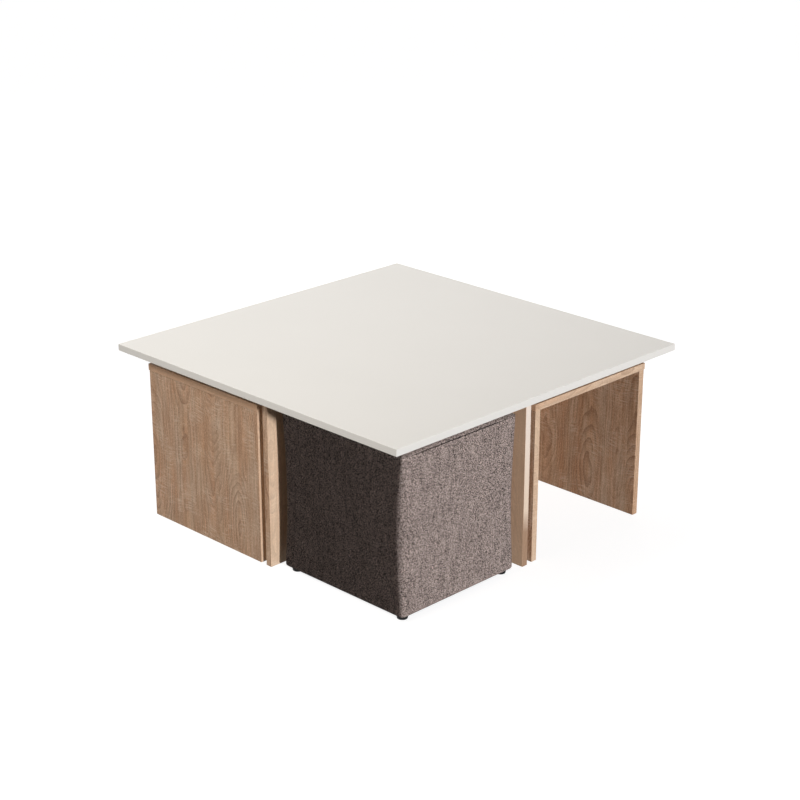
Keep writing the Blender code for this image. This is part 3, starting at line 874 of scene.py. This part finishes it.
def build_seat():
    """A closed cushion: crowned top, rounded edge, strip to the seam, and the foam below it."""
    centre = (seat_low + seat_high) / 2
    half_x, half_y = (seat_high.x - seat_low.x) / 2, (seat_high.y - seat_low.y) / 2
    low = seat_low.z
    shoulder = seat_high.z - seat_crown - seat_shoulder
    count_x, count_y = 2 * round(half_x / seat_cell), 2 * round(half_y / seat_cell)
    bm = bmesh.new()
    uv = bm.loops.layers.uv.new("weave")
    # The 'seam' attribute holds each point's share of painted shade in the seam's slot
    seam_painted_shade_layer = bm.verts.layers.float.new("seam")
    weave = {}

    def place(inset, height, side_x, side_y):
        """One point of the seat's grid, moved in by an inset and rounded at the corners."""
        reach_x, reach_y = half_x - inset, half_y - inset
        radius = corner_radius(side_x, side_y) + inset
        x, y = side_x * reach_x, side_y * reach_y
        over_x, over_y = abs(x) - (reach_x - radius), abs(y) - (reach_y - radius)
        if over_x > 0 and over_y > 0:
            pull = max(over_x, over_y) / math.hypot(over_x, over_y)
            x = math.copysign(reach_x - radius + over_x * pull, x)
            y = math.copysign(reach_y - radius + over_y * pull, y)
        return Vector((x, y, height))

    def new_vert(point):
        return bm.verts.new(point + Vector((centre.x, centre.y, 0)))

    def on_grid(i, j):
        """A cell's place from -1 to 1 on each side."""
        return -1 + 2 * i / count_x, -1 + 2 * j / count_y

    def tile(sheet, corners):
        """Faces over a whole grid of points, each from the corners' steps."""
        for i in range(count_x):
            for j in range(count_y):
                bm.faces.new([sheet[i + step_i, j + step_j] for step_i, step_j in corners])

    def facing(side):
        """-1, 0 or 1, by which of a side's two edges the point is on, if any."""
        return float(abs(side) == 1) * math.copysign(1, side)

    border = border_cells(count_x, count_y)
    cells = [(1, -1 + 2 * i / count_y) for i in range(count_y)]
    cells += [(1 - 2 * i / count_x, 1) for i in range(count_x)]
    cells += [(-1, 1 - 2 * i / count_y) for i in range(count_y)]
    cells += [(-1 + 2 * i / count_x, -1) for i in range(count_x)]
    depth, opening, gape = seam_opening(half_x, half_y, np.array(cells) * (half_x, half_y))
    nothing = np.zeros(len(cells))
    strip = [(foam_inset, foam_low.z - low, 0), (foam_inset, -2 * seam_gap, 0)]
    # The seam's lip and slot, with painted shade where the seam gapes
    for deep, inwards, up, painted_shade in reversed(seam_lip_rows()):
        strip.append((deep * depth + seam_lip * inwards, opening + seam_lip * up, painted_shade * gape))
    edge_low = shoulder - low - seat_edge
    strip.append((0, (2 * seam_lip + seam_open + edge_low) / 2, 0))
    for step in range(1, seat_edge_steps):
        angle = math.pi / 2 * step / seat_edge_steps
        rise = edge_low + seat_edge * math.sin(angle)
        strip.append((seat_edge * (1 - math.cos(angle)), rise, 0))
    rows = []
    for row in strip:
        ring = []
        insets, rises, painted_shades = (value + nothing for value in row)
        for (side_x, side_y), inset, rise, painted_shade in zip(cells, insets, rises, painted_shades):
            point = place(inset, low + rise, side_x, side_y)
            vert = new_vert(point)
            vert[seam_painted_shade_layer] = painted_shade
            drop = shoulder - low - rise
            weave[vert] = (point.x + facing(side_x) * drop, point.y + facing(side_y) * drop)
            ring.append(vert)
        rows.append(ring)
    grid = {}
    for i in range(count_x + 1):
        for j in range(count_y + 1):
            side_x, side_y = on_grid(i, j)
            fall_x, fall_y = (1 - abs(side) ** seat_crown_power for side in (side_x, side_y))
            point = place(seat_edge, shoulder + seat_crown * fall_x * fall_y, side_x, side_y)
            grid[i, j] = new_vert(point)
            weave[grid[i, j]] = (point.x, point.y)
    rows.append([grid[cell] for cell in border])
    for lower, upper in zip(rows, rows[1:]):
        for index, vert in enumerate(lower):
            following = (index + 1) % len(lower)
            bm.faces.new((vert, lower[following], upper[following], upper[index]))
    tile(grid, ((0, 0), (1, 0), (1, 1), (0, 1)))
    seam = [vert for row in rows[: lip_steps + 4] for vert in row]
    under = dict(zip(border, rows[0]))
    for i in range(count_x + 1):
        for j in range(count_y + 1):
            if (i, j) in under:
                continue
            point = place(foam_inset, foam_low.z, *on_grid(i, j))
            under[i, j] = new_vert(point)
            weave[under[i, j]] = (point.x, point.y)
            seam.append(under[i, j])
    tile(under, ((0, 0), (0, 1), (1, 1), (1, 0)))
    for face in bm.faces:
        face.smooth = True
        for loop in face.loops:
            loop[uv].uv = weave[loop.vert]
    bm.verts.index_update()
    held = [vert.index for vert in seam]
    seat = finished("ottoman_front_seat_cushion", bm)
    seat.vertex_groups.new(name="seam").add(held, 1, "REPLACE")
    return seat


def swell(piece):
    """Blows the cushion up a little like stuffed cloth, with its seam held, and keeps the shape."""
    rest = np.array([vert.co for vert in piece.data.vertices])
    cloth = piece.modifiers.new("cloth", "CLOTH")
    for name, value in cloth_settings.items():
        setattr(cloth.settings, name, value)
    cloth.settings.effector_weights.gravity = 0
    cloth.collision_settings.use_collision = False
    for number in range(1, swell_frames + 1):
        bpy.context.scene.frame_set(number)
    shaped = piece.evaluated_get(bpy.context.evaluated_depsgraph_get()).to_mesh()
    moved = np.array([vert.co for vert in shaped.vertices]) - rest
    piece.to_mesh_clear()
    piece.modifiers.remove(cloth)
    length = np.linalg.norm(moved, axis=1, keepdims=True)
    kept = np.minimum(length, swell_cap) / np.maximum(length, 1e-9)
    piece.data.vertices.foreach_set("co", (rest + moved * kept).astype(np.float32).ravel())
    bpy.context.scene.frame_set(1)


def fix(piece, modifier):
    """Keeps a modifier's mesh and takes the modifier away."""
    shaped = piece.evaluated_get(bpy.context.evaluated_depsgraph_get())
    fixed = bpy.data.meshes.new_from_object(shaped)
    piece.modifiers.remove(modifier)
    piece.data = fixed


def refine(piece):
    """Cuts each face in four, on a smooth curve."""
    smooth = piece.modifiers.new("smooth", "SUBSURF")
    smooth.levels = smooth.render_levels = 1
    fix(piece, smooth)


# Feet and caps: pairs of radius and height, from the middle of the bottom to that of the top

foot_profile = (
    (0, 0.0012),
    (0.0034, 0.0012),
    (0.0038, 0.0002),
    (0.0042, 0),
    (0.0103, 0),
    (0.0112, 0.0003),
    (0.0117, 0.0010),
    (0.0120, 0.0022),
    (0.0132, 0.0098),
    (0.0132, 0.0106),
    (0.0128, 0.0114),
    (0.0121, 0.0117),
    (0.0020, 0.0117),
    (0.0020, 0.0230),
    (0, 0.0237),
)
foot_facets = 48
cap_facets = 40
cap_stem, cap_stem_ease = 0.0021, 0.0003
cap_rim_ease = 0.0002
cap_dome_edge = 0.0012
cap_dome_steps = 4
cap_rim_share, cap_bend_share = 0.35, 0.5
cap_flat_from, cap_flat_share = 0.5, 0.96


def cap_profile(node, top):
    """A stem in the screw's head, and a low dome above the board."""
    low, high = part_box(node)
    radius = (high.x - low.x) / 2
    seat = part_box(top)[1].z - low.z
    dome = high.z - low.z - seat
    profile = [(0, 0), (cap_stem - cap_stem_ease, 0), (cap_stem, cap_stem_ease)]
    profile += [(cap_stem, seat), (radius - cap_rim_ease, seat)]
    for step in range(cap_dome_steps + 1):
        angle = step / cap_dome_steps * math.pi / 2
        reach = radius - cap_dome_edge + cap_dome_edge * math.cos(angle)
        rise = dome * (cap_rim_share + cap_bend_share * math.sin(angle))
        profile.append((reach, seat + rise))
    return profile + [(radius * cap_flat_from, seat + dome * cap_flat_share), (0, seat + dome)]


def turned(node, ending, profile, facets):
    """A piece turned round an upright axis, where the frame has the node."""
    low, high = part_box(node)
    middle_x, middle_y = (low.x + high.x) / 2, (low.y + high.y) / 2
    bm = bmesh.new()
    angles = [2 * math.pi * step / facets for step in range(facets)]
    rings = []
    for radius, height in profile:
        ring = []
        for angle in angles if radius else angles[:1]:
            x, y = middle_x + radius * math.cos(angle), middle_y + radius * math.sin(angle)
            ring.append(bm.verts.new((x, y, low.z + height)))
        rings.append(ring)
    for lower, upper in zip(rings, rings[1:]):
        for step in range(facets):
            corners = [lower[step % len(lower)], lower[(step + 1) % len(lower)]]
            corners += [upper[(step + 1) % len(upper)], upper[step % len(upper)]]
            face = bm.faces.new(list(dict.fromkeys(corners)))
            face.smooth = True
    return finished(node + ending, bm)


def build_feet():
    """Turned black feet with a sunk nail head below and the nail above."""
    black = black_plastic()
    for where in ("front", "back"):
        for letter in "abcd":
            node = f"ottoman_{where}_foot_{letter}"
            foot = turned(node, "_turned", foot_profile, foot_facets)
            foot.data.materials.append(black)
            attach(foot, "ottoman_" + where)
            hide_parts(node)


def build_caps():
    """Moulded caps on the side tables' screws."""
    plastic = plain("cap plastic", shade(204, 172, 142), 0.45, 900)
    for side in ("right", "left"):
        for end in ("outer_a", "outer_b", "inner_a", "inner_b"):
            node = f"side_table_{side}_cap_{end}"
            profile = cap_profile(node, f"side_table_{side}_top")
            cap = turned(node, "_moulded", profile, cap_facets)
            cap.data.materials.append(plastic)
            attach(cap, "side_table_" + side)
            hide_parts(node)


# Rows of stitches and staples, each turned by a few hundredths of a radian

wobble_limit = (0.05, 0.05, 0.12)
path_steps = 40


def repeat_along(name, path, spacing, half_sizes, rounded, material, seed):
    """Small equal pieces in a row along a closed path, each turned to follow it."""
    line = bpy.data.meshes.new(name + " path")
    count = len(path)
    line.from_pydata(path, [(index, (index + 1) % count) for index in range(count)], [])
    row = put(name, line)

    group = bpy.data.node_groups.new(name, "GeometryNodeTree")
    add, link = group.nodes.new, group.links.new
    socket = group.interface.new_socket
    socket("Geometry", in_out="INPUT", socket_type="NodeSocketGeometry")
    sockets = {}
    for title, kind in (("Spacing", "Float"), ("Size", "Vector"), ("Material", "Material")):
        made = socket(title, in_out="INPUT", socket_type="NodeSocket" + kind)
        sockets[title] = made.identifier
    socket("Geometry", in_out="OUTPUT", socket_type="NodeSocketGeometry")
    given, result = add("NodeGroupInput"), add("NodeGroupOutput")

    curve = add("GeometryNodeMeshToCurve")
    points = add("GeometryNodeResampleCurve")
    points.mode = "LENGTH"
    tangent = add("GeometryNodeInputTangent")
    follow = add("FunctionNodeAlignRotationToVector")
    follow.axis = "X"
    follow.pivot_axis = "Z"
    wobble = add("FunctionNodeRandomValue")
    wobble.data_type = "FLOAT_VECTOR"
    wobble.inputs["Min"].default_value = [-limit for limit in wobble_limit]
    wobble.inputs["Max"].default_value = wobble_limit
    wobble.inputs["Seed"].default_value = seed
    turn = add("FunctionNodeRotateRotation")
    turn.rotation_space = "LOCAL"
    if rounded:
        shape = add("GeometryNodeMeshUVSphere")
        shape.inputs["Segments"].default_value = 8
        shape.inputs["Rings"].default_value = 6
        shape.inputs["Radius"].default_value = 1
    else:
        shape = add("GeometryNodeMeshCube")
        shape.inputs["Size"].default_value = (2, 2, 2)
    sized = add("GeometryNodeTransform")
    placed = add("GeometryNodeInstanceOnPoints")
    real = add("GeometryNodeRealizeInstances")
    painted = add("GeometryNodeSetMaterial")

    for source, output, target, entry in (
        (given, "Geometry", curve, "Mesh"),
        (curve, "Curve", points, "Curve"),
        (given, "Spacing", points, "Length"),
        (tangent, "Tangent", follow, "Vector"),
        (follow, "Rotation", turn, "Rotation"),
        (wobble, "Value", turn, "Rotate By"),
        (shape, "Mesh", sized, "Geometry"),
        (given, "Size", sized, "Scale"),
        (points, "Curve", placed, "Points"),
        (sized, "Geometry", placed, "Instance"),
        (turn, "Rotation", placed, "Rotation"),
        (placed, "Instances", real, "Geometry"),
        (real, "Geometry", painted, "Geometry"),
        (given, "Material", painted, "Material"),
        (painted, "Geometry", result, "Geometry"),
    ):
        link(source.outputs[output], target.inputs[entry])

    repeater = row.modifiers.new("row", "NODES")
    repeater.node_group = group
    repeater[sockets["Spacing"]] = spacing
    repeater[sockets["Size"]] = half_sizes
    repeater[sockets["Material"]] = material
    bpy.context.view_layer.update()
    fix(row, repeater)
    return row


def seam_path(inset, height):
    """A closed path round the front ottoman at an inset from its sides."""
    centre = (front_low + front_high) / 2
    half_x = (front_high.x - front_low.x) / 2 - inset
    half_y = (front_high.y - front_low.y) / 2 - inset
    flat, _, _, _ = rounded_sides(half_x, half_y, corner_thread, path_steps, path_steps)
    return [(x + centre.x, y + centre.y, height) for x, y in flat]


def build_seam_stitches(thread):
    """Thread that closes the seam, down in its groove."""
    size = (stitch_length / 2, thread_width / 2, thread_width / 2)
    path = seam_path(seam_depth * stitch_depth, seam_height)
    name = "ottoman_front_seam_stitches"
    return repeat_along(name, path, stitch_pitch, size, True, thread, stitch_seed)


def build_staples(steel):
    """Staples that hold the cover's fold under the base."""
    size = (staple_width / 2, staple_wire / 2, staple_wire / 4)
    path = seam_path(fold_width * staple_place, front_low.z - staple_wire / 8)
    name = "ottoman_front_staples"
    return repeat_along(name, path, staple_pitch, size, False, steel, staple_seed)


def copy_turned(piece, name):
    """The back ottoman's piece, which is the front one's turned half round."""
    twin = piece.copy()
    twin.name = name
    twin.data = piece.data.copy()
    twin.data.transform(half_turn)
    bpy.context.scene.collection.objects.link(twin)
    return twin


def build_ottomans(cloth_group):
    """Covers, cushions, stitches and staples of the front ottoman, and their turned copies."""
    weave = woven_fabric()
    cover = build_side_cover()
    seat = build_seat()
    swell(seat)
    refine(seat)
    for piece in (cover, seat):
        piece.data.materials.clear()
        piece.data.materials.append(weave)
    stitches = build_seam_stitches(plain("sewing thread", shade(52, 43, 41), 0.8, 2500))
    staples = build_staples(plain("staple steel", shade(168, 168, 170), 0.4, 900, metallic=1.0))
    parts = (
        (cover, "side_cover_cloth", ("side_cover",), "woven_fabric"),
        (seat, "seat_cushion", ("seat_cover", "seat_foam"), "woven_fabric"),
        (stitches, "seam_stitches", (), "woven_fabric"),
        (staples, "staples", (), "zinc"),
    )
    # The copies come first, before each front piece is attached and put in the cloth group
    for where in ("back", "front"):
        body = "ottoman_" + where
        for piece, title, replaced, slot in parts:
            if where == "back":
                piece = copy_turned(piece, f"{body}_{title}")
            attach(piece, body)
            if replaced:
                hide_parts(*(f"{body}_{part}" for part in replaced))
            cloth_group.objects.link(piece)


build_camera()
cloth_group = bpy.data.collections.new("cloth")
build_ottomans(cloth_group)
build_feet()
build_caps()
build_lamps(cloth_group)
build_world()
build_floor()
dress_boards()
dress_fittings()

bpy.context.scene.view_settings.view_transform = "Standard"
